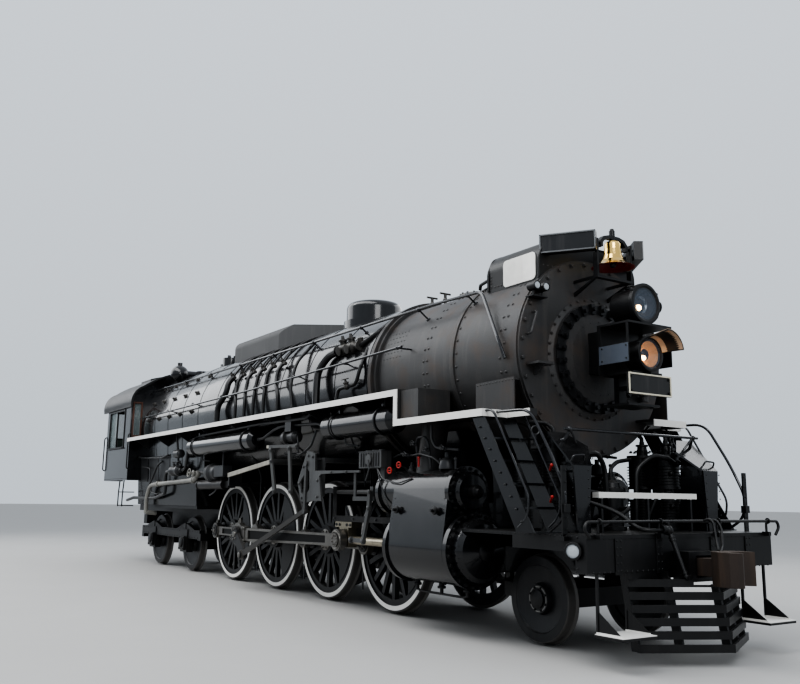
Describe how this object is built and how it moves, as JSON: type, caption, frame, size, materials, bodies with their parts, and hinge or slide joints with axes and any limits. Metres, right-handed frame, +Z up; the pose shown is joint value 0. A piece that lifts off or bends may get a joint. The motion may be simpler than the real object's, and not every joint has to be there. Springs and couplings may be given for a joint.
{
  "type": "steam locomotive",
  "caption": "Large black steam locomotive engine with coupled driving wheels, rods, boiler, domes, cab, headlights, bell, air pumps and a slatted pilot; runs on rails.",
  "frame": {"origin": "under the middle of the engine, at the level of the wheel flanges' tips", "axes": "+X is forward along the rails, +Y is to the left of the driver, +Z is up"},
  "size_m": [17.6, 3.228, 4.7549],
  "materials": {
    "gloss_black": "glossy black enamel with a thin film of dust",
    "satin_black": "satin black paint, dusty and oily",
    "graphite": "graphite grey heat-proof paint, streaked",
    "board_edge": "black tread plate with a white edge",
    "white_paint": "white paint, a little grimy",
    "rod_steel": "machined steel with oil",
    "lamp_glass": "clear lamp glass",
    "plate_black": "blank black plate with a white border",
    "bell_brass": "polished brass, dark red inside",
    "window_glass": "window glass",
    "cast_brown": "cast steel, brown with rust",
    "cab_green": "dark green cab paint",
    "pale_grey": "pale grey paint, oily",
    "wheel_black": "black wheels with white tyre edges and bright treads"
  },
  "bodies": {
    "engine": {"air_pumps": "satin_black", "air_tanks": "gloss_black", "ashpan": "satin_black", "board_boxes": "graphite", "boiler_jacket": "gloss_black", "cab_fittings": "cab_green", "cab_glass": "window_glass", "cab_roof": "satin_black", "cab_shell": "gloss_black", "coupler": "cast_brown", "crosshead_guides": "rod_steel", "crossheads": "rod_steel", "cylinders": "gloss_black", "dome_casing": "gloss_black", "engine_frame": "satin_black", "front_deck": "satin_black", "front_stairs": "satin_black", "front_step": "white_paint", "lubricators": "pale_grey", "number_boards": "satin_black", "pilot": "satin_black", "pump_shields": "satin_black", "reach_rods": "rod_steel", "rear_frame": "satin_black", "reverse_gear": "pale_grey", "running_boards": "board_edge", "sand_dome": "gloss_black", "smokebox": "graphite", "smokebox_front": "graphite", "stack_cowl": "satin_black", "steam_pipes": "graphite", "turrets": "gloss_black", "valve_gear": "rod_steel"},
    "smokebox_door": {"smokebox_door": "graphite", "headlights": "satin_black", "headlight_lenses": "lamp_glass", "front_plate": "plate_black"},
    "bell": {"bell": "bell_brass", "bell_hanger": "satin_black"},
    "lead_truck": {"lead_truck_frame": "satin_black"},
    "lead_wheels": {"lead_wheels": "wheel_black"},
    "trailing_truck": {"trailing_truck_frame": "satin_black"},
    "trailing_wheels_1": {"trailing_wheels_1": "wheel_black"},
    "trailing_wheels_2": {"trailing_wheels_2": "wheel_black"},
    "driver_wheels_1": {"driver_wheels_1": "wheel_black"},
    "driver_wheels_2": {"driver_wheels_2": "wheel_black"},
    "driver_wheels_3": {"driver_wheels_3": "wheel_black"},
    "driver_wheels_4": {"driver_wheels_4": "wheel_black"},
    "side_rod_right": {"side_rod_right": "rod_steel"},
    "main_rod_right": {"main_rod_right": "rod_steel"},
    "eccentric_rod_right": {"eccentric_rod_right": "rod_steel"},
    "side_rod_left": {"side_rod_left": "rod_steel"},
    "main_rod_left": {"main_rod_left": "rod_steel"},
    "eccentric_rod_left": {"eccentric_rod_left": "rod_steel"}
  },
  "joints": [
    {"name": "main_axle", "type": "hinge", "parent": "engine", "child": "driver_wheels_3", "pos_m": [0.092, 0, 0.904], "axis": [0, 1, 0], "continuous": true},
    {"name": "driver_axle_1", "type": "hinge", "parent": "engine", "child": "driver_wheels_1", "pos_m": [3.8, 0, 0.904], "axis": [0, 1, 0], "continuous": true},
    {"name": "driver_axle_2", "type": "hinge", "parent": "engine", "child": "driver_wheels_2", "pos_m": [1.946, 0, 0.904], "axis": [0, 1, 0], "continuous": true},
    {"name": "driver_axle_4", "type": "hinge", "parent": "engine", "child": "driver_wheels_4", "pos_m": [-1.762, 0, 0.904], "axis": [0, 1, 0], "continuous": true},
    {"name": "side_rod_right_pin", "type": "hinge", "parent": "driver_wheels_3", "child": "side_rod_right", "pos_m": [-0.34, -0.98, 0.904], "axis": [0, 1, 0], "continuous": true},
    {"name": "main_rod_right_pin", "type": "hinge", "parent": "driver_wheels_3", "child": "main_rod_right", "pos_m": [-0.34, -1.3, 0.904], "axis": [0, 1, 0], "continuous": true},
    {"name": "eccentric_rod_right_pin", "type": "hinge", "parent": "driver_wheels_3", "child": "eccentric_rod_right", "pos_m": [0.1, -1.455, 0.584], "axis": [0, 1, 0], "continuous": true},
    {"name": "side_rod_left_pin", "type": "hinge", "parent": "driver_wheels_3", "child": "side_rod_left", "pos_m": [0.092, 0.98, 0.472], "axis": [0, 1, 0], "continuous": true},
    {"name": "main_rod_left_pin", "type": "hinge", "parent": "driver_wheels_3", "child": "main_rod_left", "pos_m": [0.092, 1.3, 0.472], "axis": [0, 1, 0], "continuous": true},
    {"name": "eccentric_rod_left_pin", "type": "hinge", "parent": "driver_wheels_3", "child": "eccentric_rod_left", "pos_m": [0.412, 1.455, 0.912], "axis": [0, 1, 0], "continuous": true},
    {"name": "lead_truck_swivel", "type": "hinge", "parent": "engine", "child": "lead_truck", "pos_m": [5.3, 0, 0.53], "axis": [0, 0, 1], "range_deg": [-2, 2]},
    {"name": "trailing_truck_swivel", "type": "hinge", "parent": "engine", "child": "trailing_truck", "pos_m": [-2.62, 0, 0.735], "axis": [0, 0, 1], "range_deg": [-2, 2]},
    {"name": "lead_axle", "type": "hinge", "parent": "lead_truck", "child": "lead_wheels", "pos_m": [6.72, 0, 0.485], "axis": [0, 1, 0], "continuous": true},
    {"name": "trailing_axle_1", "type": "hinge", "parent": "trailing_truck", "child": "trailing_wheels_1", "pos_m": [-4, 0, 0.574], "axis": [0, 1, 0], "continuous": true},
    {"name": "trailing_axle_2", "type": "hinge", "parent": "trailing_truck", "child": "trailing_wheels_2", "pos_m": [-6.08, 0, 0.574], "axis": [0, 1, 0], "continuous": true},
    {"name": "smokebox_door_hinge", "type": "hinge", "parent": "engine", "child": "smokebox_door", "pos_m": [6.914, 0.76, 3.17], "axis": [0, 0, 1], "range_deg": [0, 90]},
    {"name": "bell_swing", "type": "hinge", "parent": "engine", "child": "bell", "pos_m": [7.19, 0, 4.47], "axis": [0, 1, 0], "range_deg": [-25, 25]}
  ],
  "couplings": [
    {"joint": "driver_axle_1", "follows": "main_axle", "ratio": 1},
    {"joint": "driver_axle_2", "follows": "main_axle", "ratio": 1},
    {"joint": "driver_axle_4", "follows": "main_axle", "ratio": 1},
    {"joint": "side_rod_right_pin", "follows": "main_axle", "ratio": -1},
    {"joint": "main_rod_right_pin", "follows": "main_axle", "ratio": -1},
    {"joint": "eccentric_rod_right_pin", "follows": "main_axle", "ratio": -1},
    {"joint": "side_rod_left_pin", "follows": "main_axle", "ratio": -1},
    {"joint": "main_rod_left_pin", "follows": "main_axle", "ratio": -1},
    {"joint": "eccentric_rod_left_pin", "follows": "main_axle", "ratio": -1}
  ]
}
